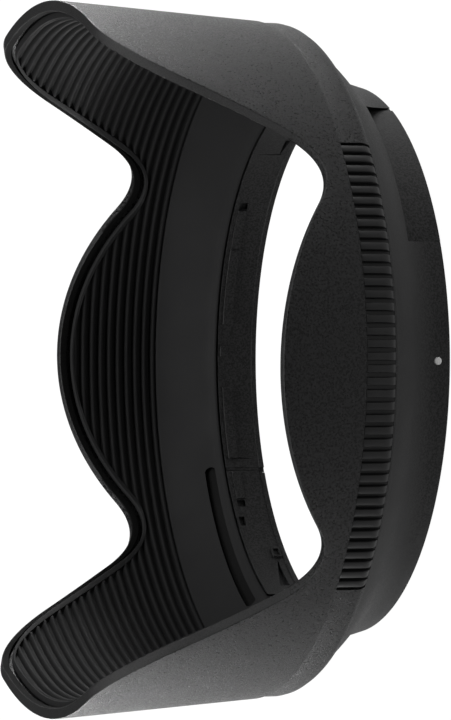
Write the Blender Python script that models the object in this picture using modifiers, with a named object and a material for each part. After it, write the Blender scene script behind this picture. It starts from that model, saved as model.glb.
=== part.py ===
"""A petal lens hood with a bayonet mount ring, modelled as an assembly.

The hood stands on its rear face: the origin is the centre of that face and +Z is the
optical axis, pointing to the front. The two long petals are at +X and -X, the two short
ones at +Y and -Y, and the index dot faces -Y. A clock angle is measured about +Z from -Y
towards +X, in degrees. Every length below is in millimetres and is scaled at the end.
"""
import math

import bmesh
import bpy
from mathutils import Matrix

MM = 0.001

# Outer cone and petals
CONE_RADIUS = 46.8          # radius of the outer cone, carried down to the rear face
CONE_TAPER = 0.073          # growth of that radius for each millimetre of height
HEIGHT = 45.0               # tips of the long petals
SHORT_PETAL_TOP = 27.7
SHORT_PETAL_CURVE = 0.0100  # fall of the short petal's edge, per degree squared
FLANK_ANGLE = 40.0          # a clock angle on the long petal's straight side
FLANK_HEIGHT = 22.4         # height of that side there
FLANK_SLOPE = 1.2           # its rise for each degree
NOTCH_BLEND = 13.4
TIP_BLEND = 10.1

# Walls
CLEARANCE = 0.3             # between neighbouring pieces
SHELL_WALL = 1.10
SHOULDER_WALL = 1.45        # thicker, where the shell carries the grips
LINER_FACE = 2.37           # depth of the liner's inner face below the outer cone
RIM_WIDTH = 1.54
RIM_LIP = 1.0               # height of the rim lip that the liner snaps under
EDGE = 0.2                  # small chamfers
LINER_EDGE = 0.4
ROOT = 0.6                  # how far a raised detail reaches into the wall behind it
OVERSHOOT = 3.0             # how far a cutter passes beyond the face it opens

# Shoulder band with the grips
STEP_Z = 15.6               # fine step between the petal cone and the shoulder band
BAND_RADIUS = 47.65
BAND_FOOT_Z = 12.3
BAND_CORNER = (47.4, 11.5)  # radius and height, on the rounded rear corner
SHELL_REAR = 10.95
SHELL_REAR_RADIUS = 46.8
SHOULDER_Z = 16.2           # where the shoulder wall thins to the petal wall
WALL_CHANGE = 0.35

# Smooth inner cone and lip of the liner
CONE_FOOT = (39.05, 6.9)    # radius and height of the smooth cone's rear edge
CONE_HEAD_Z = 13.05
LINER_SLOPE = 1.026
LINER_BACK = 1.15           # radial thickness of the smooth cone
LIP_RADIUS = 37.75
LIP_Z = 6.15
LIP_ROUND = 0.3

# Mount ring
RING_TOP = SHELL_REAR - CLEARANCE
REAR_RADIUS = 38.9
FOOT_SLOPE = 0.28           # growth of the outside for each millimetre above the rear face
RING_CONE = (35.5, 1.05)    # radius carried down to the rear face, and slope
RING_SHOULDER = (37.75, 0.78)
SHOULDER_START = 5.0        # the shoulder line only bounds the cone above this height
FOOT_BLEND = 1.9
SHOULDER_BLEND = 0.4
RING_HEIGHTS = (9.8, 8.9, 7.9, 6.9, 5.9, 5.0, 4.1, 3.0, 1.6)
REAR_LIP = 37.44            # rear lip of the bore
REAR_LIP_Z = (0.7, 0.86)    # where the lip ends and where the bore wall starts
BORE_RADIUS = 37.6
WALL_TOP = LIP_Z - CLEARANCE
LUG_RADIUS = 37.2
LUG_Z = (4.0, 5.4)
LUG_ANGLES = (7.2, 24.0)    # clock angles from the short petal's centre
LEFT_LUG_ANGLES = (-34.2, -7.2)
STOP_Z = (4.7, 5.7)
STOP_ANGLES = (-2.2, 0.2)

# Click tongues, in two windows of the ring whose end walls face along X
WINDOW_X = (16.6, 35.3)
WINDOW_Y = (-50.0, -11.0)
WINDOW_TOP = 6.07
TONGUE_X = (16.72, 34.95)   # the wider gap is where the tongue travels to
TONGUE_OUTER = 39.05
TONGUE_FOOT = 0.1
TONGUE_LIP_Z = 0.8
CATCH_Z = (4.0, 5.25)
CATCH_ANGLES = (26.9, 34.2)
DETENT_Z = (1.0, 2.3)
DETENT_ANGLES = (48.7, 51.7)
SLIT_RADII = (39.36, 40.17)
SLIT_Z = (5.0, 10.0)
SLIT_ANGLES = (24.7, 64.0)

# Grips
GRIP_MIDDLE = -0.5
GRIP_ANGLE = 39.5           # half the angle that a grip's pocket covers
GRIP_Z = (11.35, 15.3)
GRIP_FLOOR = 46.7
GRIP_BASE = 46.9
GRIP_VALLEY = 47.2
GRIP_CREST = 47.75
GRIP_PITCH = 2.0            # degrees
GRIP_RIBS = 39
RIB_SHAPE = ((-0.38, GRIP_VALLEY), (-0.28, GRIP_CREST), (0.28, GRIP_CREST), (0.38, GRIP_VALLEY))
GRIP_POCKET_GAP = 0.2

# Index dot
DOT_ANGLE = 0.7
DOT_Z = 2.0
DOT_RADIUS = 0.55
DOT_POCKET_RADIUS = 0.65
DOT_FACE = 39.45
DOT_DEPTH = 0.35
DOT_POCKET_DEPTH = 0.55

PETAL_STEPS = 120
RING_STEPS = 96
DOT_SEGMENTS = 32
GRIP_BACK_STEPS = 28
SHARP_ANGLE = 30.0
WELD = 0.00001              # metres
BEND_STEP = 3.0             # degrees between the cuts of a bent box
ARC_CUTS = 14
HALF_TURNS = (0.0, 180.0)   # the hood is the same after half a turn


def smooth_max(a, b, width):
    """The larger of two values, rounded off where they are closer than width."""
    return max(a, b) + max(width - abs(a - b), 0.0) ** 2 / (4.0 * width)


def smooth_min(a, b, width):
    return -smooth_max(-a, -b, width)


def at_clock(radius, angle):
    """The point at a clock angle on a circle about Z."""
    turn = math.radians(angle)
    return radius * math.sin(turn), -radius * math.cos(turn)


def cone_radius(z):
    return CONE_RADIUS + CONE_TAPER * z


def rim_height(angle):
    """Height of the petals' edge: a curved short petal, a straight flank and a flat tip."""
    folded = abs(angle) % 180.0
    folded = min(folded, 180.0 - folded)
    petal = SHORT_PETAL_TOP - SHORT_PETAL_CURVE * folded ** 2
    flank = FLANK_HEIGHT + FLANK_SLOPE * (folded - FLANK_ANGLE)
    return smooth_min(HEIGHT, smooth_max(petal, flank, NOTCH_BLEND), TIP_BLEND)


def liner_cone(z):
    """Inner face of the liner's smooth cone."""
    return CONE_FOOT[0] + LINER_SLOPE * (z - CONE_FOOT[1])


def liner_back(z):
    return liner_cone(z) + LINER_BACK


def seat_cone(z):
    """The face that the back of the liner's cone lies against."""
    return liner_back(z) + CLEARANCE * math.hypot(1.0, LINER_SLOPE)


def ring_radius(z):
    """Outside of the mount ring: a steep foot, a 46 degree cone and a softer shoulder."""
    foot = REAR_RADIUS + FOOT_SLOPE * z
    lower = smooth_max(foot, RING_CONE[0] + RING_CONE[1] * z, FOOT_BLEND)
    if z < SHOULDER_START:
        return lower
    return smooth_min(lower, RING_SHOULDER[0] + RING_SHOULDER[1] * z, SHOULDER_BLEND)


def crossing(first, second, low, high):
    """Height between low and high at which two radius functions meet."""
    for _ in range(40):
        middle = 0.5 * (low + high)
        if first(middle) < second(middle):
            low = middle
        else:
            high = middle
    return middle


# ---------------------------------------------------------------- scene helpers

def clear_scene():
    for obj in list(bpy.data.objects):
        bpy.data.objects.remove(obj, do_unlink=True)


def new_collection(name):
    collection = bpy.data.collections.new(name)
    bpy.context.scene.collection.children.link(collection)
    return collection


def new_material(name, colour, roughness):
    material = bpy.data.materials.new(name)
    material.use_nodes = True
    shader = material.node_tree.nodes["Principled BSDF"]
    shader.inputs["Base Color"].default_value = (*colour, 1.0)
    shader.inputs["Roughness"].default_value = roughness
    shader.inputs["Metallic"].default_value = 0.0
    return material


def add_object(name, bm, collection, material=None):
    """Scales a mesh built in millimetres to metres and makes it an object."""
    bmesh.ops.scale(bm, vec=(MM, MM, MM), verts=bm.verts)
    mesh = bpy.data.meshes.new(name)
    bm.to_mesh(mesh)
    bm.free()
    mesh.shade_smooth()
    mesh.set_sharp_from_angle(angle=math.radians(SHARP_ANGLE))
    obj = bpy.data.objects.new(name, mesh)
    collection.objects.link(obj)
    if material:
        mesh.materials.append(material)
    return obj


def add_cutter(name, bm):
    cutter = add_object(name, bm, CUTTERS)
    cutter.hide_render = True
    cutter.display_type = "WIRE"
    return cutter


def combine(obj, tool, operation):
    modifier = obj.modifiers.new(tool.name, "BOOLEAN")
    modifier.object = tool
    modifier.operation = operation
    modifier.solver = "EXACT"


# ---------------------------------------------------------------- shape helpers

def petal_loft(section):
    """Closed ring lofted through a section that changes with the clock angle."""
    bm = bmesh.new()
    loops = []
    for step in range(PETAL_STEPS):
        angle = 360.0 * step / PETAL_STEPS
        loops.append([bm.verts.new((*at_clock(r, angle), z)) for r, z in section(angle)])
    for step, loop in enumerate(loops):
        following = loops[(step + 1) % PETAL_STEPS]
        for index, vert in enumerate(loop):
            after = (index + 1) % len(loop)
            bm.faces.new((vert, loop[after], following[after], following[index]))
    return bm


def turned(name, profile, steps, collection, material):
    """Solid of revolution: the profile runs down its outer side and up its inner side."""
    bm = bmesh.new()
    verts = [bm.verts.new((r * MM, 0.0, z * MM)) for r, z in profile]
    for index, vert in enumerate(verts):
        bm.edges.new((vert, verts[(index + 1) % len(verts)]))
    mesh = bpy.data.meshes.new(name)
    bm.to_mesh(mesh)
    bm.free()
    mesh.materials.append(material)
    obj = bpy.data.objects.new(name, mesh)
    collection.objects.link(obj)
    screw = obj.modifiers.new("turn", "SCREW")
    screw.angle = 2.0 * math.pi
    screw.steps = steps
    screw.render_steps = steps
    screw.use_merge_vertices = True
    screw.merge_threshold = 0.0001
    screw.use_smooth_shade = True
    return obj


def bent_box(radii, heights, angles, cuts=None):
    """A box bent about the Z axis, between two radii, two heights and two clock angles."""
    bm = bmesh.new()
    bmesh.ops.create_cube(bm, size=1.0)
    lengthwise = [e for e in bm.edges if abs(e.verts[0].co.x - e.verts[1].co.x) > 0.5]
    if cuts is None:
        cuts = math.ceil((angles[1] - angles[0]) / BEND_STEP) - 1
    if cuts:
        bmesh.ops.subdivide_edges(bm, edges=lengthwise, cuts=cuts, use_grid_fill=True)
    for vert in bm.verts:
        x, y, z = (value + 0.5 for value in vert.co)
        radius = radii[1] - y * (radii[1] - radii[0])
        angle = angles[0] + x * (angles[1] - angles[0])
        height = heights[0] + z * (heights[1] - heights[0])
        vert.co = (*at_clock(radius, angle), height)
    return bm


def straight_box(xs, ys, zs, turn):
    """A plain box between limits along each axis, then turned about Z."""
    bm = bmesh.new()
    bmesh.ops.create_cube(bm, size=1.0)
    for vert in bm.verts:
        place = [low + (value + 0.5) * (high - low) for value, (low, high) in zip(vert.co, (xs, ys, zs))]
        vert.co = place
    bmesh.ops.rotate(bm, matrix=Matrix.Rotation(math.radians(turn), 3, "Z"), verts=bm.verts)
    return bm


def trimmed_arc(radii, heights, turn):
    """An arc of wall between two radii whose ends are cut square to X, then turned about Z."""
    bm = bent_box(radii, heights, (0.0, 1.0), cuts=ARC_CUTS)
    for vert in bm.verts:
        radius = math.hypot(vert.co.x, vert.co.y)
        share = math.degrees(math.atan2(vert.co.x, -vert.co.y))
        x = TONGUE_X[0] + share * (TONGUE_X[1] - TONGUE_X[0])
        vert.co = (x, -math.sqrt(radius ** 2 - x ** 2), vert.co.z)
    bmesh.ops.rotate(bm, matrix=Matrix.Rotation(math.radians(turn), 3, "Z"), verts=bm.verts)
    return bm


def half_turned(angles, turn):
    return tuple(angle + turn for angle in angles)


# ---------------------------------------------------------------- the hood's pieces

def shell_section(angle):
    """Radius and height around the outer shell's wall, from the rim down the outside."""
    rim = rim_height(angle)
    rim_radius = cone_radius(rim)
    lip_foot = rim - RIM_LIP
    corner = crossing(seat_cone, lambda z: cone_radius(z) - SHOULDER_WALL, SHELL_REAR, SHOULDER_Z)
    thin_z = SHOULDER_Z + WALL_CHANGE
    return [
        (rim_radius - EDGE, rim),
        (cone_radius(rim - EDGE), rim - EDGE),
        (cone_radius(STEP_Z + EDGE), STEP_Z + EDGE),
        (BAND_RADIUS, STEP_Z),
        (BAND_RADIUS, BAND_FOOT_Z),
        BAND_CORNER,
        (SHELL_REAR_RADIUS, SHELL_REAR),
        (seat_cone(SHELL_REAR), SHELL_REAR),
        (seat_cone(corner), corner),
        (cone_radius(SHOULDER_Z) - SHOULDER_WALL, SHOULDER_Z),
        (cone_radius(thin_z) - SHELL_WALL, thin_z),
        (cone_radius(lip_foot) - SHELL_WALL, lip_foot - EDGE),
        (cone_radius(lip_foot) - RIM_WIDTH, lip_foot),
        (rim_radius - RIM_WIDTH, rim - EDGE),
        (rim_radius - RIM_WIDTH + EDGE, rim),
    ]


def liner_section(angle):
    """Radius and height around the liner's wall, from its top edge down the outside."""
    top = rim_height(angle) - RIM_LIP - CLEARANCE
    shell_gap = SHELL_WALL + CLEARANCE
    shoulder_gap = SHOULDER_WALL + CLEARANCE
    corner = crossing(liner_back, lambda z: cone_radius(z) - shoulder_gap, LIP_Z, SHOULDER_Z)
    thin_z = SHOULDER_Z + CLEARANCE
    return [
        (cone_radius(top) - shell_gap, top - CLEARANCE),
        (cone_radius(thin_z) - shell_gap, thin_z + WALL_CHANGE),
        (cone_radius(thin_z) - shoulder_gap, thin_z),
        (liner_back(corner), corner),
        (liner_back(LIP_Z), LIP_Z),
        (LIP_RADIUS, LIP_Z),
        (LIP_RADIUS, LIP_Z + 0.5 * LIP_ROUND),
        (LIP_RADIUS + LIP_ROUND, LIP_Z + LIP_ROUND),
        CONE_FOOT,
        (cone_radius(CONE_HEAD_Z) - LINER_FACE, CONE_HEAD_Z),
        (cone_radius(top) - LINER_FACE, top - CLEARANCE - LINER_EDGE),
        (cone_radius(top) - LINER_FACE + LINER_EDGE, top - CLEARANCE),
    ]


def ring_profile():
    profile = [(ring_radius(z), z) for z in (RING_TOP, *RING_HEIGHTS, EDGE)]
    profile += [
        (REAR_RADIUS - EDGE, 0.0),
        (REAR_LIP + EDGE, 0.0),
        (REAR_LIP, EDGE),
        (REAR_LIP, REAR_LIP_Z[0]),
        (BORE_RADIUS, REAR_LIP_Z[1]),
        (BORE_RADIUS, WALL_TOP),
        (seat_cone(WALL_TOP), WALL_TOP),
        (seat_cone(RING_TOP), RING_TOP),
    ]
    return profile


def grip_outline(middle):
    """Points around a toothed band, which is the grip seen along the optical axis."""
    points = []
    for rib in range(GRIP_RIBS):
        centre = middle + (rib - 0.5 * (GRIP_RIBS - 1)) * GRIP_PITCH
        for offset, radius in RIB_SHAPE:
            points.append(at_clock(radius, centre + offset * GRIP_PITCH))
    end = 0.5 * (GRIP_RIBS - 1) * GRIP_PITCH + RIB_SHAPE[-1][0] * GRIP_PITCH
    for step in range(GRIP_BACK_STEPS + 1):
        points.append(at_clock(GRIP_BASE, middle + end - 2.0 * end * step / GRIP_BACK_STEPS))
    return points


def make_grip(name, middle):
    """One grip insert: a flat toothed outline, extruded along the optical axis."""
    curve = bpy.data.curves.new(name, "CURVE")
    curve.dimensions = "2D"
    curve.fill_mode = "BOTH"
    curve.extrude = 0.5 * (GRIP_Z[1] - GRIP_Z[0]) * MM
    points = grip_outline(middle)
    spline = curve.splines.new("POLY")
    spline.points.add(len(points) - 1)
    for point, (x, y) in zip(spline.points, points):
        point.co = (x * MM, y * MM, 0.0, 1.0)
    spline.use_cyclic_u = True
    drawn = bpy.data.objects.new(name + "_outline", curve)
    PARTS.objects.link(drawn)
    drawn.location.z = 0.5 * (GRIP_Z[0] + GRIP_Z[1]) * MM
    bpy.context.view_layer.update()
    evaluated = drawn.evaluated_get(bpy.context.evaluated_depsgraph_get())
    mesh = bpy.data.meshes.new_from_object(evaluated)
    bm = bmesh.new()
    bm.from_mesh(mesh)
    bmesh.ops.remove_doubles(bm, verts=bm.verts, dist=WELD)
    bmesh.ops.recalc_face_normals(bm, faces=bm.faces)
    bm.to_mesh(mesh)
    bm.free()
    mesh.materials.clear()
    mesh.materials.append(GRIP_PLASTIC)
    grip = bpy.data.objects.new(name, mesh)
    grip.matrix_world = drawn.matrix_world
    PARTS.objects.link(grip)
    bpy.data.objects.remove(drawn)


def make_shell():
    shell = add_object("hood_shell", petal_loft(shell_section), PARTS, SHELL_PLASTIC)
    pocket_z = (GRIP_Z[0] - GRIP_POCKET_GAP, GRIP_Z[1] + GRIP_POCKET_GAP)
    for turn in HALF_TURNS:
        angles = half_turned((GRIP_MIDDLE - GRIP_ANGLE, GRIP_MIDDLE + GRIP_ANGLE), turn)
        box = bent_box((GRIP_FLOOR, BAND_RADIUS + OVERSHOOT), pocket_z, angles)
        pocket = add_cutter(f"grip_pocket_{turn:.0f}", box)
        combine(shell, pocket, "DIFFERENCE")


def make_liner():
    liner = add_object("baffle_liner", petal_loft(liner_section), PARTS, LINER_PLASTIC)
    for turn in HALF_TURNS:
        angles = half_turned(SLIT_ANGLES, turn)
        slit = add_cutter(f"slit_{turn:.0f}", bent_box(SLIT_RADII, SLIT_Z, angles))
        combine(liner, slit, "DIFFERENCE")


def make_ring():
    ring = turned("mount_ring", ring_profile(), RING_STEPS, PARTS, RING_PLASTIC)
    for turn in HALF_TURNS:
        lugs = {
            "lug_right": (LUG_ANGLES, LUG_Z),
            "lug_left": (LEFT_LUG_ANGLES, LUG_Z),
            "stop": (STOP_ANGLES, STOP_Z),
        }
        for name, (angles, heights) in lugs.items():
            box = bent_box((LUG_RADIUS, BORE_RADIUS + ROOT), heights, half_turned(angles, turn))
            combine(ring, add_cutter(f"{name}_{turn:.0f}", box), "UNION")
        window = straight_box(WINDOW_X, WINDOW_Y, (-OVERSHOOT, WINDOW_TOP), turn)
        combine(ring, add_cutter(f"window_{turn:.0f}", window), "DIFFERENCE")
    pocket = bmesh.new()
    depth = DOT_POCKET_DEPTH + OVERSHOOT
    bmesh.ops.create_cone(pocket, cap_ends=True, segments=DOT_SEGMENTS, depth=depth,
                          radius1=DOT_POCKET_RADIUS, radius2=DOT_POCKET_RADIUS)
    place_at_index(pocket, DOT_FACE + OVERSHOOT - 0.5 * depth)
    combine(ring, add_cutter("dot_pocket", pocket), "DIFFERENCE")


def place_at_index(bm, distance):
    """Turns a cylinder's axis to the index side and moves it out to a distance from the axis."""
    for vert in bm.verts:
        x, y, z = vert.co
        vert.co = (x, -distance - z, y + DOT_Z)
    bmesh.ops.rotate(bm, matrix=Matrix.Rotation(math.radians(DOT_ANGLE), 3, "Z"), verts=bm.verts)


def make_tongue(name, turn):
    """A sprung arc of the bore's wall, with a catch and a click detent on its inside."""
    wall = trimmed_arc((BORE_RADIUS, TONGUE_OUTER), (TONGUE_FOOT, WALL_TOP), turn)
    tongue = add_object(name, wall, PARTS, RING_PLASTIC)
    lip = trimmed_arc((REAR_LIP, BORE_RADIUS + ROOT), (TONGUE_FOOT, TONGUE_LIP_Z), turn)
    combine(tongue, add_cutter(f"{name}_lip", lip), "UNION")
    for part, angles, heights in (("catch", CATCH_ANGLES, CATCH_Z), ("detent", DETENT_ANGLES, DETENT_Z)):
        box = bent_box((LUG_RADIUS, BORE_RADIUS + ROOT), heights, half_turned(angles, turn))
        combine(tongue, add_cutter(f"{name}_{part}", box), "UNION")


def make_dot():
    bm = bmesh.new()
    bmesh.ops.create_cone(bm, cap_ends=True, segments=DOT_SEGMENTS, depth=DOT_DEPTH,
                          radius1=DOT_RADIUS, radius2=DOT_RADIUS)
    place_at_index(bm, DOT_FACE - 0.5 * DOT_DEPTH)
    add_object("index_dot", bm, PARTS, DOT_PAINT)


clear_scene()
PARTS = new_collection("petal_lens_hood")
CUTTERS = new_collection("cutters")
SHELL_PLASTIC = new_material("grained_black_plastic", (0.022, 0.022, 0.024), 0.55)
LINER_PLASTIC = new_material("matt_black_liner", (0.010, 0.010, 0.011), 0.60)
RING_PLASTIC = new_material("fine_black_plastic", (0.018, 0.018, 0.019), 0.45)
GRIP_PLASTIC = new_material("grip_black_plastic", (0.014, 0.014, 0.015), 0.40)
DOT_PAINT = new_material("white_paint", (0.62, 0.62, 0.60), 0.50)

make_shell()
make_liner()
make_ring()
make_grip("grip_near", GRIP_MIDDLE)
make_grip("grip_far", GRIP_MIDDLE + 180.0)
make_tongue("click_tongue_near", 0.0)
make_tongue("click_tongue_far", 180.0)
make_dot()
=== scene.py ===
"""Looks of the petal lens hood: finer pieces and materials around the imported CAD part.

Each piece repeats its CAD node's dimensions and adds the detail that the CAD leaves out. Lengths are in
millimetres until new_object() scales them to metres. Sections are lists of (radius, z). The clock angle is
measured about +Z from -Y towards +X, in degrees, as in the CAD.
"""

import math

import bmesh
import bpy
import numpy as np
from mathutils import Matrix, Vector


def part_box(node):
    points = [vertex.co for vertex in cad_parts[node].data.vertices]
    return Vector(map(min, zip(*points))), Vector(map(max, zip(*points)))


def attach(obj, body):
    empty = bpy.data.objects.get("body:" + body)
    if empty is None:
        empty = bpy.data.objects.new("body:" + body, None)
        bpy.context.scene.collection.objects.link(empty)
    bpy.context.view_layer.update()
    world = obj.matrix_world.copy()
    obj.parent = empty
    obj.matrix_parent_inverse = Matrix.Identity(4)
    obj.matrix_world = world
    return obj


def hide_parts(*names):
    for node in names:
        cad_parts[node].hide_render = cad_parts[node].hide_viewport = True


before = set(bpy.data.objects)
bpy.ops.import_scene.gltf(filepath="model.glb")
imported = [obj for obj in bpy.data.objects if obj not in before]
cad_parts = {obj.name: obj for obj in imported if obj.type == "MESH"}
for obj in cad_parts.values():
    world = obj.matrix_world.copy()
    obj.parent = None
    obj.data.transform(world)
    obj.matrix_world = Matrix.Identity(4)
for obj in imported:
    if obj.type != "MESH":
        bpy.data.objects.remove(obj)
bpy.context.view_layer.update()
MM = 0.001


def cad_size(node, corner, axis):
    """One coordinate of a CAD node's box, in millimetres."""
    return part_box(node)[corner][axis] / MM


LOW, HIGH = 0, 1
Z = 2

# Outer cone and petals
CONE_RADIUS = 46.8
CONE_TAPER = 0.073
HEIGHT = cad_size("hood_shell", HIGH, Z)
SHORT_PETAL_TOP = 27.7
SHORT_PETAL_CURVE = 0.0100
FLANK_ANGLE = 40.0
FLANK_HEIGHT = 22.4
FLANK_SLOPE = 1.2
NOTCH_BLEND = 13.4
TIP_BLEND = 10.1

# Walls
CLEARANCE = 0.3
SHELL_WALL = 1.10
SHOULDER_WALL = 1.45
LINER_FACE = 2.37
RIM_WIDTH = 1.54
RIM_LIP = 1.0
LIP_CHAMFER = 0.2
RIM_ROUND = 0.20
FLAT_NORMAL = 0.5           # the rim's top faces upwards by more than this

# Shoulder band with the grips
STEP_Z = 15.6
STEP_INNER_ROUND = 0.06
STEP_OUTER_ROUND = 0.04
BAND_RADIUS = 47.65
BAND_FOOT_Z = 12.4
BAND_CHAMFER = (47.50, 11.75)
BAND_EDGE_RADIUS = 47.12
SHELL_REAR = cad_size("hood_shell", LOW, Z)
SHELL_REAR_RADIUS = 46.8
REAR_ROUND = 0.08
SHOULDER_Z = 16.2
WALL_CHANGE = 0.35

# Liner: ribs, smooth cone, lip and slits
RIB_FIRST = 13.53
RIB_PITCH = 1.334
RIB_COUNT = 24
RIB_SHAPE = ((-0.36, 0.56), (-0.25, 0.30), (-0.18, 0.06), (-0.09, 0.0),
             (0.10, 0.0), (0.22, 0.06), (0.40, 0.26), (0.60, 0.56))     # steep behind, sloping in front
MARGIN = 1.95
TOP_EDGE = ((0.0, 0.30), (0.08, 0.08), (0.30, 0.0))
CONE_FOOT = (39.05, 6.9)
FOOT_EDGE = ((-0.30, -0.16), (0.20, 0.21))
CONE_HEAD_Z = 13.0
HEAD_EDGE = ((-0.28, -0.27), (-0.10, -0.05), (0.02, 0.06))
LINER_SLOPE = 1.026
LINER_BACK = 1.15
LIP_RADIUS = 37.75
LIP_Z = cad_size("baffle_liner", LOW, Z)
LIP_EDGE = ((0.15, 0.0), (0.04, 0.06), (0.0, 0.18), (0.10, 0.36), (0.35, 0.55))
SLIT_RADIUS = 39.915
SLIT_HALF_WIDTH = 0.61
SLIT_ANGLES = (24.7, 64.0)
SLIT_DEPTH = 0.55
SLIT_INWARD = (0.70, -0.72)     # the groove's direction into the wall, square to the cone
SLIT_TOP_Z = 9.0

# Mount ring
RING_TOP = cad_size("mount_ring", HIGH, Z)
REAR_RADIUS = 38.9
FOOT_SLOPE = 0.28
RING_CONE = (35.5, 1.05)
RING_SHOULDER = (37.75, 0.78)
SHOULDER_START = 5.0        # the shoulder line only bounds the cone above this height
FOOT_BLEND = 1.9
SHOULDER_BLEND = 0.4
REAR_LIP = 37.44
BORE_RADIUS = 37.6
WALL_TOP = LIP_Z - 0.18
ROOT = 0.6                  # how far a box that is added to or cut from the bore reaches into its wall
LUG_RADIUS = 37.2
THIN_LUG_RADIUS = 37.35
LUGS = (((4.0, 5.4), (7.2, 24.0)), ((4.0, 5.4), (-25.0, -7.2)), ((4.7, 5.7), (-2.2, 0.2)))
THIN_LUG = ((4.05, 5.35), (-35.1, -24.6))
RING_RECESSES = (((4.0, 5.3), (-37.07, -35.2)), ((1.0, 1.9), (-57.5, -52.0), (1.75, 1.8)))
WINDOW_X = (16.6, 35.3)
WINDOW_Y = (-50.0, -11.0)
WINDOW_Z = (-3.0, 6.07)

# Click tongues
TONGUE_X = (16.61, 34.95)
TONGUE_OUTER = 39.05
TONGUE_Z = (cad_size("click_tongue_near", LOW, Z), WALL_TOP)
TONGUE_LIP_Z = 0.8
FLANGE_X = ((16.4, 17.0), (34.6, 35.5))     # thin flanges that the tongue's ends lap over
FLANGE_RADIUS = 38.90
FLANGE_Z = (0.25, WALL_TOP - 0.06)
REBATE_X = ((16.4, 17.05), (34.3, 35.5))    # what is cut from the tongue to clear the flanges
REBATE_RADIUS = 38.93
REBATE_Z = (-1.0, WALL_TOP + 1.0)
SILL_X = ((16.45, 17.3), (34.0, 35.45))     # low sills that close the view through the gaps
SILL_Z = (0.15, 0.4)
SILL_CUT_X = ((16.4, 17.35), (33.7, 35.5))  # what is cut from the tongue to clear the sills
SILL_CUT_Z = (-1.0, 0.45)
INSET = 0.06                                # keeps the flanges' faces apart from the ring's

TONGUE_RECESSES = (((4.0, 5.3), (34.5, 36.3)), ((4.75, 5.65), (39.0, 41.6)),
                   ((1.75, 1.85), (52.8, 62.0), (1.75, 3.3)))
TONGUE_LUG = ((4.0, 5.25), (26.9, 34.2))
BLOCK = ((1.0, 2.3), (48.7, 51.7))          # the catch, hollow inside
BLOCK_HOLE = ((1.25, 2.1), (49.2, 51.4))
EDGE_ROUND = 0.05

# Grips
GRIP_MIDDLE = -0.5
GRIP_ANGLE = 39.25
GRIP_Z = (cad_size("grip_near", LOW, Z), cad_size("grip_near", HIGH, Z))
GRIP_FLOOR = 46.7
GRIP_BASE = 46.9
GRIP_VALLEY = 47.05
GRIP_CREST = 47.75
GRIP_PITCH = 2.0
GRIP_RIBS = 39
GRIP_POCKET_GAP = 0.2
GRIP_REACH = 0.19           # the visible ribs fill the pocket's length
# Section across a rib: share of the pitch, share of the height
RIB_PROFILE = ((-0.33, 0.0), (-0.32, 0.60), (-0.29, 0.90), (-0.24, 1.0),
               (0.24, 1.0), (0.29, 0.90), (0.32, 0.60), (0.33, 0.0))
# Line along the ribs' tops: z, radius
GRIP_SHOULDER = ((GRIP_Z[0] - GRIP_REACH, 47.10), (GRIP_Z[0], 47.24), (GRIP_Z[0] + 0.2, 47.42),
                 (GRIP_Z[0] + 0.5, 47.58), (GRIP_Z[0] + 0.9, 47.70), (GRIP_Z[0] + 1.3, GRIP_CREST),
                 (GRIP_Z[1], GRIP_CREST), (GRIP_Z[1] + GRIP_REACH, GRIP_CREST - 0.03))

# Index dot
DOT_ANGLE = 0.7
DOT_Z = 2.0
DOT_RADIUS = 0.55
DOT_POCKET_RADIUS = 0.62
DOT_FACE = 39.45
DOT_DEPTH = 0.35
DOT_POCKET_FLOOR = DOT_FACE - 0.55
DOT_SIDES = 48

HALF_TURNS = (0.0, 180.0)
STEPS = 720                 # columns round the hood
TONGUE_STEPS = 60
FLANGE_STEPS = 4
SILL_STEPS = 6
EDGE_STEP = 0.02            # degrees between two columns that make a radial wall


def smooth_max(a, b, width):
    return np.maximum(a, b) + np.maximum(width - np.abs(a - b), 0.0) ** 2 / (4.0 * width)


def smooth_min(a, b, width):
    return -smooth_max(-a, -b, width)


def cone_radius(z):
    return CONE_RADIUS + CONE_TAPER * z


def rim_height(angle):
    folded = np.abs(angle) % 180.0
    folded = np.minimum(folded, 180.0 - folded)
    petal = SHORT_PETAL_TOP - SHORT_PETAL_CURVE * folded ** 2
    flank = FLANK_HEIGHT + FLANK_SLOPE * (folded - FLANK_ANGLE)
    return smooth_min(HEIGHT, smooth_max(petal, flank, NOTCH_BLEND), TIP_BLEND)


def margin_height(angle, margin):
    """Height of the line that runs a fixed distance below the rim, measured along the wall."""
    best = rim_height(angle) - margin
    for share in np.linspace(-1.0, 1.0, 81):
        reach = share * margin
        turn = math.degrees(reach / cone_radius(30.0))
        best = np.minimum(best, rim_height(angle + turn) - math.sqrt(margin ** 2 - reach ** 2))
    return best


def liner_cone(z):
    return CONE_FOOT[0] + LINER_SLOPE * (z - CONE_FOOT[1])


def liner_back(z):
    return liner_cone(z) + LINER_BACK


def seat_cone(z):
    return liner_back(z) + CLEARANCE * math.hypot(1.0, LINER_SLOPE)


def ring_radius(z):
    foot = REAR_RADIUS + FOOT_SLOPE * z
    lower = smooth_max(foot, RING_CONE[0] + RING_CONE[1] * z, FOOT_BLEND)
    if z < SHOULDER_START:
        return float(lower)
    return float(smooth_min(lower, RING_SHOULDER[0] + RING_SHOULDER[1] * z, SHOULDER_BLEND))


def crossing(first, second, low, high):
    for _ in range(40):
        middle = 0.5 * (low + high)
        if first(middle) < second(middle):
            low = middle
        else:
            high = middle
    return middle


def at_clock(radius, angle):
    turn = np.radians(angle)
    return radius * np.sin(turn), -radius * np.cos(turn)


# ---------------------------------------------------------------- mesh helpers

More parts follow.
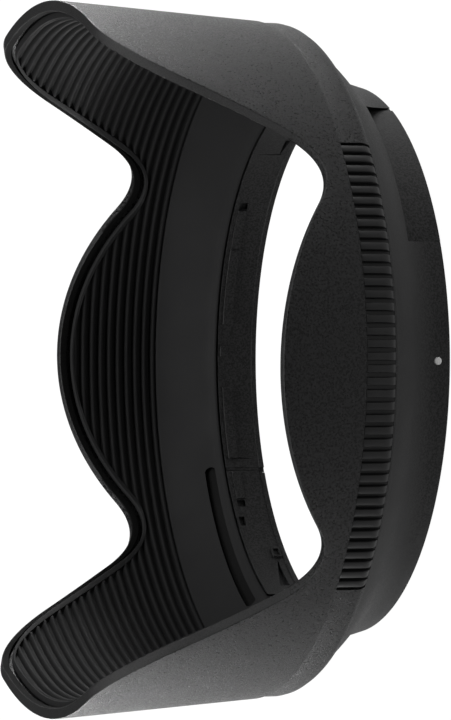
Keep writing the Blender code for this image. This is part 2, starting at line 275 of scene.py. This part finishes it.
def rounded(points, segments=4):
    """A closed polyline whose corners (r, z, size) are rounded off, each with the same number of points."""
    out = []
    for index, (r, z, size) in enumerate(points):
        if not size:
            out.append((r, z))
            continue
        before = points[index - 1]
        after = points[(index + 1) % len(points)]
        here = np.array((r, z))
        towards = [np.array(p[:2]) - here for p in (before, after)]
        ends = [here + t / np.linalg.norm(t) * min(size, 0.45 * np.linalg.norm(t)) for t in towards]
        for step in range(segments + 1):
            share = step / segments
            curve = (1 - share) ** 2 * ends[0] + 2 * share * (1 - share) * here + share ** 2 * ends[1]
            out.append(tuple(curve))
    return out


def loft(angles, sections):
    """Closed ring through one (r, z) section for each angle, with the same number of points in each."""
    sections = np.array(sections, float)
    columns, rows = sections.shape[:2]
    x, y = at_clock(sections[:, :, 0], np.array(angles)[:, None])
    verts = np.stack((x, y, sections[:, :, 1]), axis=2).reshape(-1, 3)
    faces = []
    for column in range(columns):
        here = column * rows
        there = ((column + 1) % columns) * rows
        for row in range(rows):
            after = (row + 1) % rows
            faces.append((here + row, here + after, there + after, there + row))
    return verts, faces


def new_object(name, verts, faces, material, sharp=35.0, weld=0.002):
    """A mesh in millimetres becomes an object in metres, with doubled points merged."""
    mesh = bpy.data.meshes.new(name)
    mesh.from_pydata([tuple(v) for v in np.asarray(verts)], [], faces)
    bm = bmesh.new()
    bm.from_mesh(mesh)
    bmesh.ops.remove_doubles(bm, verts=bm.verts, dist=weld)
    bmesh.ops.dissolve_degenerate(bm, dist=0.5 * weld, edges=bm.edges)
    bmesh.ops.recalc_face_normals(bm, faces=bm.faces)
    bmesh.ops.scale(bm, vec=(MM, MM, MM), verts=bm.verts)
    bm.to_mesh(mesh)
    bm.free()
    mesh.shade_smooth()
    mesh.set_sharp_from_angle(angle=math.radians(sharp))
    if material:
        mesh.materials.append(material)
    obj = bpy.data.objects.new(name, mesh)
    bpy.context.scene.collection.objects.link(obj)
    return obj


def join_parts(parts):
    """Several (verts, faces) as one."""
    verts, faces = [], []
    for part_verts, part_faces in parts:
        base = sum(len(v) for v in verts)
        verts.append(np.asarray(part_verts, float))
        faces += [tuple(index + base for index in face) for face in part_faces]
    return np.concatenate(verts), faces


def bent_box(radii, heights, angles, last_heights=None, step=1.0):
    """A box bent about Z; radii, heights and angles are (low, high), and the heights may change along it."""
    last_heights = last_heights or heights
    count = max(1, math.ceil((angles[1] - angles[0]) / step))
    verts = []
    for index in range(count + 1):
        share = index / count
        angle = angles[0] + (angles[1] - angles[0]) * share
        low, high = [a + (b - a) * share for a, b in zip(heights, last_heights)]
        for radius, height in ((radii[0], low), (radii[1], low), (radii[1], high), (radii[0], high)):
            verts.append((*at_clock(radius, angle), height))
    faces = [(0, 1, 2, 3), tuple(4 * count + k for k in (3, 2, 1, 0))]
    for index in range(count):
        for side in range(4):
            after = (side + 1) % 4
            a, b = 4 * index, 4 * index + 4
            faces.append((a + side, b + side, b + after, a + after))
    return np.array(verts), faces


def straight_box(xs, ys, zs):
    """A box between two values of x, y and z."""
    corners = [(xs[0], ys[0]), (xs[1], ys[0]), (xs[1], ys[1]), (xs[0], ys[1])]
    verts = [(x, y, z) for z in zs for x, y in corners]
    faces = [(3, 2, 1, 0), (4, 5, 6, 7), (0, 1, 5, 4), (1, 2, 6, 5), (2, 3, 7, 6), (3, 0, 4, 7)]
    return verts, faces


def turned_by(part, angle):
    """The same part, turned about Z."""
    verts, faces = part
    turn = np.array(Matrix.Rotation(math.radians(angle), 3, "Z"))
    return np.asarray(verts) @ turn.T, faces


def boolean(obj, parts, operation):
    """Cuts or adds closed parts, which don't touch each other, and applies it."""
    tool = new_object(obj.name + "_tool", *join_parts(parts), None)
    modifier = obj.modifiers.new("boolean", "BOOLEAN")
    modifier.object = tool
    modifier.operation = operation
    modifier.solver = "EXACT"
    apply_modifiers(obj)
    bpy.data.objects.remove(tool)


def apply_modifiers(obj):
    evaluated = obj.evaluated_get(bpy.context.evaluated_depsgraph_get())
    mesh = bpy.data.meshes.new_from_object(evaluated)
    obj.modifiers.clear()
    obj.data = mesh


def soften(obj, width, segments=2, limit=40.0):
    """Small rounded edges wherever faces meet at more than the limit."""
    bevel = obj.modifiers.new("edges", "BEVEL")
    bevel.width = width * MM
    bevel.segments = segments
    bevel.limit_method = "ANGLE"
    bevel.angle_limit = math.radians(limit)
    bevel.use_clamp_overlap = True
    apply_modifiers(obj)
    obj.data.shade_smooth()
    obj.data.set_sharp_from_angle(angle=math.radians(limit))
    normals = obj.modifiers.new("normals", "WEIGHTED_NORMAL")
    normals.keep_sharp = True
    apply_modifiers(obj)


def stands_for(obj, node, body="hood"):
    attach(obj, body)
    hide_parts(node)


# ---------------------------------------------------------------- materials

PIT_SHARE = 0.4             # size of the pits as a share of the grain's
PATCH_SIZE = 9.0


def moulded_plastic(name, colour, roughness, grain, height, speckle, patch=0.1, specular=0.5, sparkle=0.03):
    """Moulded plastic with a grain of a given size and height.

    The colour varies with the grain by the share speckle. The roughness varies by patch over broad areas
    and by sparkle with the grain.
    """
    material = bpy.data.materials.new(name)
    material.use_nodes = True
    nodes = material.node_tree.nodes
    link = material.node_tree.links.new
    shader = nodes["Principled BSDF"]
    shader.inputs["Specular IOR Level"].default_value = specular
    place = nodes.new("ShaderNodeTexCoord").outputs["Object"]

    def noise(size, detail):
        node = nodes.new("ShaderNodeTexNoise")
        node.inputs["Scale"].default_value = 1.0 / (size * MM)
        node.inputs["Detail"].default_value = detail
        node.inputs["Roughness"].default_value = 0.6
        link(place, node.inputs["Vector"])
        return node.outputs["Fac"]

    def mapped(value, low, high, start=0.35, end=0.65):
        node = nodes.new("ShaderNodeMapRange")
        node.inputs["From Min"].default_value = start
        node.inputs["From Max"].default_value = end
        node.inputs["To Min"].default_value = low
        node.inputs["To Max"].default_value = high
        link(value, node.inputs["Value"])
        return node.outputs["Result"]

    pits = noise(PIT_SHARE * grain, 2.0)
    fine = noise(grain, 3.0)
    broad = noise(PATCH_SIZE, 2.0)
    relief = nodes.new("ShaderNodeMath")
    relief.operation = "ADD"
    link(fine, relief.inputs[0])
    link(pits, relief.inputs[1])
    bump = nodes.new("ShaderNodeBump")
    bump.inputs["Strength"].default_value = 1.0
    bump.inputs["Distance"].default_value = height * MM
    link(relief.outputs[0], bump.inputs["Height"])
    link(bump.outputs["Normal"], shader.inputs["Normal"])

    blend = nodes.new("ShaderNodeMix")
    blend.data_type = "RGBA"
    blend.inputs["A"].default_value = (*[c * (1.0 - speckle) for c in colour], 1.0)
    blend.inputs["B"].default_value = (*[c * (1.0 + speckle) for c in colour], 1.0)
    link(mapped(fine, 0.0, 1.0, 0.42, 0.58), blend.inputs["Factor"])
    link(blend.outputs["Result"], shader.inputs["Base Color"])
    gloss = nodes.new("ShaderNodeMath")
    gloss.operation = "ADD"
    link(mapped(broad, roughness - 0.5 * patch, roughness + 0.5 * patch), gloss.inputs[0])
    link(mapped(fine, -sparkle, sparkle), gloss.inputs[1])
    link(gloss.outputs[0], shader.inputs["Roughness"])
    return material


SHELL_PLASTIC = moulded_plastic("shell_grained_plastic", (0.0125, 0.0125, 0.0128), 0.42, 0.30, 0.055, 0.9,
                                patch=0.04, specular=0.23, sparkle=0.20)
RIM_PLASTIC = moulded_plastic("rim_grained_plastic", (0.016, 0.016, 0.0163), 0.5, 0.20, 0.030, 0.5,
                              specular=0.25, sparkle=0.10)
LIP_PLASTIC = moulded_plastic("rim_inner_plastic", (0.006, 0.006, 0.006), 0.7, 0.12, 0.010, 0.3,
                              specular=0.05)
LINER_PLASTIC = moulded_plastic("liner_matt_plastic", (0.0145, 0.0145, 0.0148), 0.65, 0.10, 0.004, 0.1,
                                specular=0.08)
# Painted shade: a near-black material for the slits' inner faces, standing in for the darkness of a slot
# that looks through to an unlit inside
SLOT_PAINTED_SHADE = moulded_plastic("liner_slot_painted_shade", (0.005, 0.005, 0.005), 0.7, 0.10, 0.004, 0.1,
                                 specular=0.06)
RING_PLASTIC = moulded_plastic("ring_fine_plastic", (0.020, 0.020, 0.0203), 0.5, 0.28, 0.025, 0.5,
                               patch=0.05, specular=0.15, sparkle=0.10)
GRIP_PLASTIC = moulded_plastic("grip_satin_plastic", (0.016, 0.016, 0.0163), 0.38, 0.12, 0.004, 0.1,
                               specular=0.25)
DOT_PAINT = moulded_plastic("dot_white_paint", (0.90, 0.90, 0.89), 0.5, 0.15, 0.006, 0.05)
LIP_INDEX, RIM_INDEX = 1, 2     # the shell's second and third materials
SLOT_PAINTED_SHADE_INDEX = 1                # the liner's second material


# ---------------------------------------------------------------- shell

def shell_section(angle, pocket):
    """Section of the shell from the rim's inner edge over the outside, with or without the grip pocket."""
    rim = float(rim_height(angle))
    rim_radius = cone_radius(rim)
    lip_foot = rim - RIM_LIP
    corner = crossing(seat_cone, lambda z: cone_radius(z) - SHOULDER_WALL, SHELL_REAR, SHOULDER_Z)
    thin_z = SHOULDER_Z + WALL_CHANGE
    pocket_top = GRIP_Z[1] + GRIP_POCKET_GAP
    pocket_foot = GRIP_Z[0] - GRIP_POCKET_GAP
    floor = GRIP_FLOOR if pocket else BAND_RADIUS
    return rounded([
        (rim_radius - RIM_WIDTH, rim, RIM_ROUND),
        (rim_radius, rim, RIM_ROUND),
        (cone_radius(STEP_Z) - 0.01, STEP_Z + 0.02, STEP_INNER_ROUND),
        (BAND_RADIUS, STEP_Z, STEP_OUTER_ROUND),
        (BAND_RADIUS, pocket_top, 0.0),
        (floor, pocket_top, 0.0),
        (floor, BAND_FOOT_Z, 0.0),
        (min(floor, BAND_CHAMFER[0]), BAND_CHAMFER[1], 0.0),
        (min(floor, BAND_EDGE_RADIUS), pocket_foot, 0.0),
        (BAND_EDGE_RADIUS, pocket_foot, 0.0),
        (SHELL_REAR_RADIUS, SHELL_REAR, REAR_ROUND),
        (seat_cone(SHELL_REAR), SHELL_REAR, 0.0),
        (seat_cone(corner), corner, 0.0),
        (cone_radius(SHOULDER_Z) - SHOULDER_WALL, SHOULDER_Z, 0.0),
        (cone_radius(thin_z) - SHELL_WALL, thin_z, 0.0),
        (cone_radius(lip_foot) - SHELL_WALL, lip_foot - LIP_CHAMFER, 0.0),
        (cone_radius(lip_foot) - RIM_WIDTH, lip_foot, 0.0),
    ])


def make_shell():
    """Lofted shell whose columns stand close together at the ends of the two grip pockets."""
    columns = [(360.0 * step / STEPS, None) for step in range(STEPS)]
    for turn in HALF_TURNS:
        for side in (-1.0, 1.0):
            end = (GRIP_MIDDLE + side * GRIP_ANGLE + turn) % 360.0
            columns = [c for c in columns if abs(c[0] - end) > 0.2]
            columns += [(end - side * EDGE_STEP, None), (end, False)]
    columns.sort()
    sections = []
    for angle, pocket in columns:
        if pocket is None:
            away = abs((angle - GRIP_MIDDLE + 90.0) % 180.0 - 90.0)
            pocket = away < GRIP_ANGLE
        sections.append(shell_section(angle, pocket))
    shell = new_object("shell", *loft([c[0] for c in columns], sections), SHELL_PLASTIC)
    shell.data.materials.append(LIP_PLASTIC)
    shell.data.materials.append(RIM_PLASTIC)
    for face in shell.data.polygons:
        z = face.center.z / MM
        wall = cone_radius(z) - math.hypot(face.center.x, face.center.y) / MM
        if face.normal.z > FLAT_NORMAL and z > FLANK_HEIGHT:
            face.material_index = RIM_INDEX
        elif wall > SHELL_WALL:
            face.material_index = LIP_INDEX
    stands_for(shell, "hood_shell")


# ---------------------------------------------------------------- liner

def slit_half_width(angle):
    """Half the width of the slit at an angle: full in the middle and rounded off at its blunt end."""
    folded = angle % 180.0
    start, end = SLIT_ANGLES
    if not start < folded < end:
        return 0.0
    round_angle = math.degrees(SLIT_HALF_WIDTH / SLIT_RADIUS)
    near = min(1.0, (folded - start) / round_angle, (end - folded) / round_angle)
    return SLIT_HALF_WIDTH * math.sqrt(1.0 - (1.0 - near) ** 2)


def liner_section(angle, margin_z):
    """Section of the liner down its back, round the lip, over the slit and up the ribs to the margin."""
    top = float(rim_height(angle)) - RIM_LIP - CLEARANCE
    shell_gap = SHELL_WALL + CLEARANCE
    shoulder_gap = SHOULDER_WALL + CLEARANCE
    corner = crossing(liner_back, lambda z: cone_radius(z) - shoulder_gap, LIP_Z, SHOULDER_Z)
    thin_z = SHOULDER_Z + CLEARANCE
    face = LINER_FACE
    points = [
        (cone_radius(top) - shell_gap, top - CLEARANCE),
        (cone_radius(thin_z) - shell_gap, thin_z + WALL_CHANGE),
        (cone_radius(thin_z) - shoulder_gap, thin_z),
        (liner_back(corner), corner),
        (liner_back(LIP_Z), LIP_Z),
    ]
    points += [(LIP_RADIUS + out, LIP_Z + up) for out, up in LIP_EDGE]
    points += [(CONE_FOOT[0] + out, CONE_FOOT[1] + up) for out, up in FOOT_EDGE]
    half = slit_half_width(angle)
    for radius, depth in ((SLIT_RADIUS - half, 0.0), (SLIT_RADIUS - half, SLIT_DEPTH),
                          (SLIT_RADIUS + half, SLIT_DEPTH), (SLIT_RADIUS + half, 0.0)):
        z = CONE_FOOT[1] + (radius - CONE_FOOT[0]) / LINER_SLOPE
        depth = depth if half else 0.0
        points.append((radius + SLIT_INWARD[0] * depth, z + SLIT_INWARD[1] * depth))
    points += [(liner_cone(CONE_HEAD_Z) + out, CONE_HEAD_Z + up) for out, up in HEAD_EDGE]
    for rib in range(RIB_COUNT):
        crest = RIB_FIRST + rib * RIB_PITCH
        for offset, _ in RIB_SHAPE:
            if rib == 0 and offset < -0.25:
                continue
            z = crest + offset
            clipped = min(z, margin_z)
            points.append((cone_radius(clipped) - face + rib_depth(clipped), clipped))
    points += [
        (cone_radius(margin_z) - face + rib_depth(margin_z), margin_z),
        (cone_radius(margin_z) - face + 0.03, margin_z + 0.02),
        (cone_radius(margin_z) - face, margin_z + 0.07),
    ]
    points += [(cone_radius(top) - face + out, top - CLEARANCE - down) for out, down in TOP_EDGE]
    return points


def rib_depth(z):
    """How far the liner's face lies behind the crests at a height."""
    offset = (z - RIB_FIRST + 0.5 * RIB_PITCH) % RIB_PITCH - 0.5 * RIB_PITCH
    offsets = [o for o, _ in RIB_SHAPE]
    depths = [d for _, d in RIB_SHAPE]
    return float(np.interp(offset, offsets, depths))


def make_liner():
    """Lofted liner with extra columns at the rounded ends of the slits, whose inner faces get a near-black
    painted shade.
    """
    angles = list(360.0 * np.arange(STEPS) / STEPS)
    for turn in HALF_TURNS:
        for end in SLIT_ANGLES:
            span = math.degrees(SLIT_HALF_WIDTH / SLIT_RADIUS)
            inward = 1.0 if end == SLIT_ANGLES[0] else -1.0
            angles += [end + turn + inward * span * share for share in (0.0, 0.04, 0.15, 0.35, 0.65)]
    angles = sorted(set(angles))
    margins = margin_height(np.array(angles), MARGIN)
    sections = [liner_section(a, float(m)) for a, m in zip(angles, margins)]
    liner = new_object("liner", *loft(angles, sections), LINER_PLASTIC, sharp=40.0)
    liner.data.materials.append(SLOT_PAINTED_SHADE)
    for face in liner.data.polygons:
        z = face.center.z / MM
        depth = math.hypot(face.center.x, face.center.y) / MM - liner_cone(z)
        # The faces inside the slits get the near-black painted shade
        if z < SLIT_TOP_Z and 0.2 * SLIT_DEPTH < depth < 0.75 * LINER_BACK:
            face.material_index = SLOT_PAINTED_SHADE_INDEX
    stands_for(liner, "baffle_liner")


# ---------------------------------------------------------------- mount ring

def make_ring():
    """Lofted ring with lugs, recesses, two windows for the tongues and the pocket of the dot."""
    heights = [RING_TOP - EDGE_ROUND, *np.linspace(10.3, 0.45, 34), 0.2, 0.06]
    profile = [(ring_radius(RING_TOP) - EDGE_ROUND, RING_TOP)]
    profile += [(ring_radius(z), z) for z in heights]
    profile += [
        (REAR_RADIUS - 0.12, 0.0),
        (REAR_LIP + 0.15, 0.0),
        (REAR_LIP + 0.04, 0.05),
        (REAR_LIP, 0.16),
        (REAR_LIP, 0.7),
        (BORE_RADIUS, 0.86),
        (BORE_RADIUS, WALL_TOP),
        (seat_cone(WALL_TOP), WALL_TOP),
        (seat_cone(RING_TOP), RING_TOP),
    ]
    angles = 360.0 * np.arange(STEPS) / STEPS
    ring = new_object("ring", *loft(angles, [profile] * STEPS), RING_PLASTIC)
    root = BORE_RADIUS + ROOT
    added, cut = [], []
    for turn in HALF_TURNS:
        added += [turned_by(bent_box((LUG_RADIUS, root), *place), turn) for place in LUGS]
        cut.append(turned_by(straight_box(WINDOW_X, WINDOW_Y, WINDOW_Z), turn))
        cut += [turned_by(bent_box((REAR_LIP, root), *place), turn) for place in RING_RECESSES]
    boolean(ring, added, "UNION")
    boolean(ring, cut, "DIFFERENCE")
    flange_radii = (BORE_RADIUS + INSET, FLANGE_RADIUS)
    sill_radii = (REAR_LIP + INSET, FLANGE_RADIUS - INSET)
    overlapping = [trimmed_arc(flange_radii, FLANGE_Z, xs, FLANGE_STEPS) for xs in FLANGE_X]
    overlapping += [trimmed_arc(sill_radii, SILL_Z, xs, SILL_STEPS) for xs in SILL_X]
    overlapping.append(bent_box((THIN_LUG_RADIUS, root), *THIN_LUG))
    for part in overlapping:
        for turn in HALF_TURNS:
            boolean(ring, [turned_by(part, turn)], "UNION")
    boolean(ring, [dot_cylinder(DOT_POCKET_RADIUS, DOT_POCKET_FLOOR, DOT_FACE + 3.0)], "DIFFERENCE")
    soften(ring, EDGE_ROUND)
    stands_for(ring, "mount_ring")


def dot_cylinder(radius, low, high):
    """A cylinder on the index side, between two distances from the axis."""
    count = DOT_SIDES
    verts = []
    for distance in (low, high):
        for step in range(count):
            turn = 2.0 * math.pi * step / count
            verts.append((radius * math.cos(turn), -distance, DOT_Z + radius * math.sin(turn)))
    faces = [tuple(range(count)), tuple(reversed(range(count, 2 * count)))]
    faces += [(k, k + count, (k + 1) % count + count, (k + 1) % count) for k in range(count)]
    return turned_by((verts, faces), DOT_ANGLE)


# ---------------------------------------------------------------- click tongues

def trimmed_arc(radii, heights, xs, count):
    """An arc of wall between two radii whose ends are cut square to X."""
    verts = []
    for step in range(count + 1):
        x = xs[0] + (xs[1] - xs[0]) * step / count
        for radius, height in ((radii[0], heights[0]), (radii[1], heights[0]),
                               (radii[1], heights[1]), (radii[0], heights[1])):
            verts.append((x, -math.sqrt(radius ** 2 - x ** 2), height))
    faces = [(0, 1, 2, 3), tuple(4 * count + k for k in (3, 2, 1, 0))]
    for step in range(count):
        for side in range(4):
            after = (side + 1) % 4
            a, b = 4 * step, 4 * step + 4
            faces.append((a + side, b + side, b + after, a + after))
    return np.array(verts), faces


def make_tongue(name, node, body, turn):
    """Sprung arc of the wall with lip, lug, hollow catch and recesses, cut back over the ring's flanges."""
    wall = trimmed_arc((BORE_RADIUS, TONGUE_OUTER), TONGUE_Z, TONGUE_X, TONGUE_STEPS)
    tongue = new_object(name, *turned_by(wall, turn), RING_PLASTIC)
    added = [
        trimmed_arc((REAR_LIP, BORE_RADIUS + ROOT), (TONGUE_Z[0], TONGUE_LIP_Z), TONGUE_X, TONGUE_STEPS),
        bent_box((THIN_LUG_RADIUS, BORE_RADIUS + ROOT), *TONGUE_LUG),
        bent_box((LUG_RADIUS, BORE_RADIUS + ROOT), *BLOCK),
    ]
    for part in added:
        boolean(tongue, [turned_by(part, turn)], "UNION")
    recesses = [bent_box((REAR_LIP, BORE_RADIUS + ROOT), *place) for place in TONGUE_RECESSES]
    recesses.append(bent_box((LUG_RADIUS - ROOT, BORE_RADIUS), *BLOCK_HOLE))
    boolean(tongue, [turned_by(part, turn) for part in recesses], "DIFFERENCE")
    inside = REAR_LIP - 0.3
    rebates = [trimmed_arc((inside, REBATE_RADIUS), REBATE_Z, xs, FLANGE_STEPS) for xs in REBATE_X]
    boolean(tongue, [turned_by(part, turn) for part in rebates], "DIFFERENCE")
    seats = [trimmed_arc((inside, REBATE_RADIUS - 0.01), SILL_CUT_Z, xs, SILL_STEPS) for xs in SILL_CUT_X]
    boolean(tongue, [turned_by(part, turn) for part in seats], "DIFFERENCE")
    soften(tongue, EDGE_ROUND)
    stands_for(tongue, node, body)


# ---------------------------------------------------------------- grips and dot

def make_grip(name, node, middle):
    """Ribbed insert: flat-topped ribs along Z, whose rear ends follow the shoulder."""
    columns = []
    for rib in range(GRIP_RIBS):
        centre = middle + (rib - 0.5 * (GRIP_RIBS - 1)) * GRIP_PITCH
        columns += [(centre + share * GRIP_PITCH, height) for share, height in RIB_PROFILE]
    verts, faces = [], []
    for angle, height in columns:
        for z, crest in GRIP_SHOULDER:
            radius = min(crest, GRIP_VALLEY + height * (GRIP_CREST - GRIP_VALLEY))
            verts.append((*at_clock(radius, angle), z))
        for z in (GRIP_SHOULDER[-1][0], GRIP_SHOULDER[0][0]):
            verts.append((*at_clock(GRIP_BASE, angle), z))
    rows = len(GRIP_SHOULDER) + 2
    for column in range(len(columns) - 1):
        for row in range(rows):
            after = (row + 1) % rows
            a, b = column * rows, (column + 1) * rows
            faces.append((a + row, b + row, b + after, a + after))
    last = (len(columns) - 1) * rows
    faces += [tuple(range(rows)), tuple(last + row for row in reversed(range(rows)))]
    grip = new_object(name, verts, faces, GRIP_PLASTIC, sharp=50.0)
    stands_for(grip, node)


def make_dot():
    """White dot: a disc with a rounded rim and a face that bulges slightly."""
    rings = ((DOT_RADIUS, DOT_FACE - DOT_DEPTH), (DOT_RADIUS, DOT_FACE - 0.10),
             (0.93 * DOT_RADIUS, DOT_FACE - 0.04), (0.8 * DOT_RADIUS, DOT_FACE - 0.01),
             (0.4 * DOT_RADIUS, DOT_FACE))
    count = DOT_SIDES
    verts, faces = [], []
    for radius, distance in rings:
        for step in range(count):
            turn = 2.0 * math.pi * step / count
            verts.append((radius * math.cos(turn), -distance, DOT_Z + radius * math.sin(turn)))
    for ring in range(len(rings) - 1):
        a, b = ring * count, (ring + 1) * count
        faces += [(a + k, a + (k + 1) % count, b + (k + 1) % count, b + k) for k in range(count)]
    faces += [tuple(reversed(range(count))), tuple(range((len(rings) - 1) * count, len(rings) * count))]
    dot = new_object("dot", *turned_by((verts, faces), DOT_ANGLE), DOT_PAINT)
    stands_for(dot, "index_dot")


make_shell()
make_liner()
make_ring()
make_tongue("tongue_near", "click_tongue_near", "tongue_near", 0.0)
make_tongue("tongue_far", "click_tongue_far", "tongue_far", 180.0)
make_grip("grip_insert_near", "grip_near", GRIP_MIDDLE)
make_grip("grip_insert_far", "grip_far", GRIP_MIDDLE + 180.0)
make_dot()


# ---------------------------------------------------------------- floor, light and camera

FLOOR_SIZE = 4.0            # half the side, in metres
FLOOR_LIGHT = 0.54
LIGHT_AIM = (0.0, 0.0, 0.02)
STRIP_SIZE = (0.4, 0.024)
CAMERA_PLACE = (0.0109061, -0.6618432, 0.2562363)
CAMERA_BACKWARD = (0.0155663, -0.9409337, 0.3382328)
CAMERA_UP = (0.9998636, 0.0165175, -0.000066)
CAMERA_LENS = 248.77


def seen_and_lit(tree, seen, lighting):
    """Strength that is one value to the camera and another as light on the object."""
    path = tree.nodes.new("ShaderNodeLightPath")
    strength = tree.nodes.new("ShaderNodeMapRange")
    strength.inputs["To Min"].default_value = lighting
    strength.inputs["To Max"].default_value = seen
    tree.links.new(path.outputs["Is Camera Ray"], strength.inputs["Value"])
    return strength.outputs["Result"]


def make_floor():
    size = FLOOR_SIZE
    verts = [(-size, -size, 0.0), (size, -size, 0.0), (size, size, 0.0), (-size, size, 0.0)]
    mesh = bpy.data.meshes.new("floor")
    mesh.from_pydata(verts, [], [(0, 1, 2, 3)])
    material = bpy.data.materials.new("floor_paper")
    material.use_nodes = True
    shader = material.node_tree.nodes["Principled BSDF"]
    shader.inputs["Base Color"].default_value = (0.05, 0.05, 0.05, 1.0)
    shader.inputs["Roughness"].default_value = 0.9
    shader.inputs["Specular IOR Level"].default_value = 0.0
    shader.inputs["Emission Color"].default_value = (1.0, 1.0, 1.0, 1.0)
    strength = seen_and_lit(material.node_tree, 1.0, FLOOR_LIGHT)
    material.node_tree.links.new(strength, shader.inputs["Emission Strength"])
    mesh.materials.append(material)
    floor = bpy.data.objects.new("floor", mesh)
    bpy.context.scene.collection.objects.link(floor)


def make_light(name, place, aim, size, power):
    """A soft rectangular lamp at a place, turned towards its aim; metres and watts."""
    light = bpy.data.lights.new(name, "AREA")
    light.shape = "RECTANGLE"
    light.size, light.size_y = size
    light.energy = power
    obj = bpy.data.objects.new(name, light)
    obj.location = place
    obj.rotation_mode = "QUATERNION"
    obj.rotation_quaternion = (Vector(aim) - Vector(place)).to_track_quat("-Z", "Y")
    bpy.context.scene.collection.objects.link(obj)


def make_light_pair(name, angle, distance, height, size, power):
    """The same light on both sides of the hood, at a clock angle."""
    for side in (1.0, -1.0):
        x, y = at_clock(distance, side * angle)
        make_light(name, (x, y, height), LIGHT_AIM, size, power)


def make_camera():
    """Looks at the hood's near side from a little above, rolled so that the optical axis lies level."""
    backward = Vector(CAMERA_BACKWARD).normalized()
    up = Vector(CAMERA_UP)
    up = (up - up.dot(backward) * backward).normalized()
    right = up.cross(backward)
    camera = bpy.data.cameras.new("camera")
    camera.lens = CAMERA_LENS
    camera.sensor_width = 36.0
    obj = bpy.data.objects.new("camera", camera)
    turn = Matrix((right, up, backward)).transposed().to_4x4()
    obj.matrix_world = Matrix.Translation(CAMERA_PLACE) @ turn
    bpy.context.scene.collection.objects.link(obj)
    bpy.context.scene.camera = obj


def make_world():
    world = bpy.data.worlds.new("studio")
    world.use_nodes = True
    background = world.node_tree.nodes["Background"]
    background.inputs["Color"].default_value = (1.0, 1.0, 1.0, 1.0)
    world.node_tree.links.new(seen_and_lit(world.node_tree, 1.0, 0.0), background.inputs["Strength"])
    bpy.context.scene.world = world


make_floor()
make_light_pair("strip_behind", 120.0, 0.3, 0.012, STRIP_SIZE, 0.75)
make_light_pair("strip_beside", 100.0, 0.3, 0.012, STRIP_SIZE, 0.36)
make_light_pair("softbox_beside", 90.0, 0.5, 0.5, (0.3, 0.4), 1.6)
make_light("softbox_above", (0.0, 0.0, 0.9), (0.0, 0.0, 0.0), (0.5, 0.5), 6.4)
make_camera()
make_world()
bpy.context.scene.view_settings.view_transform = "Standard"
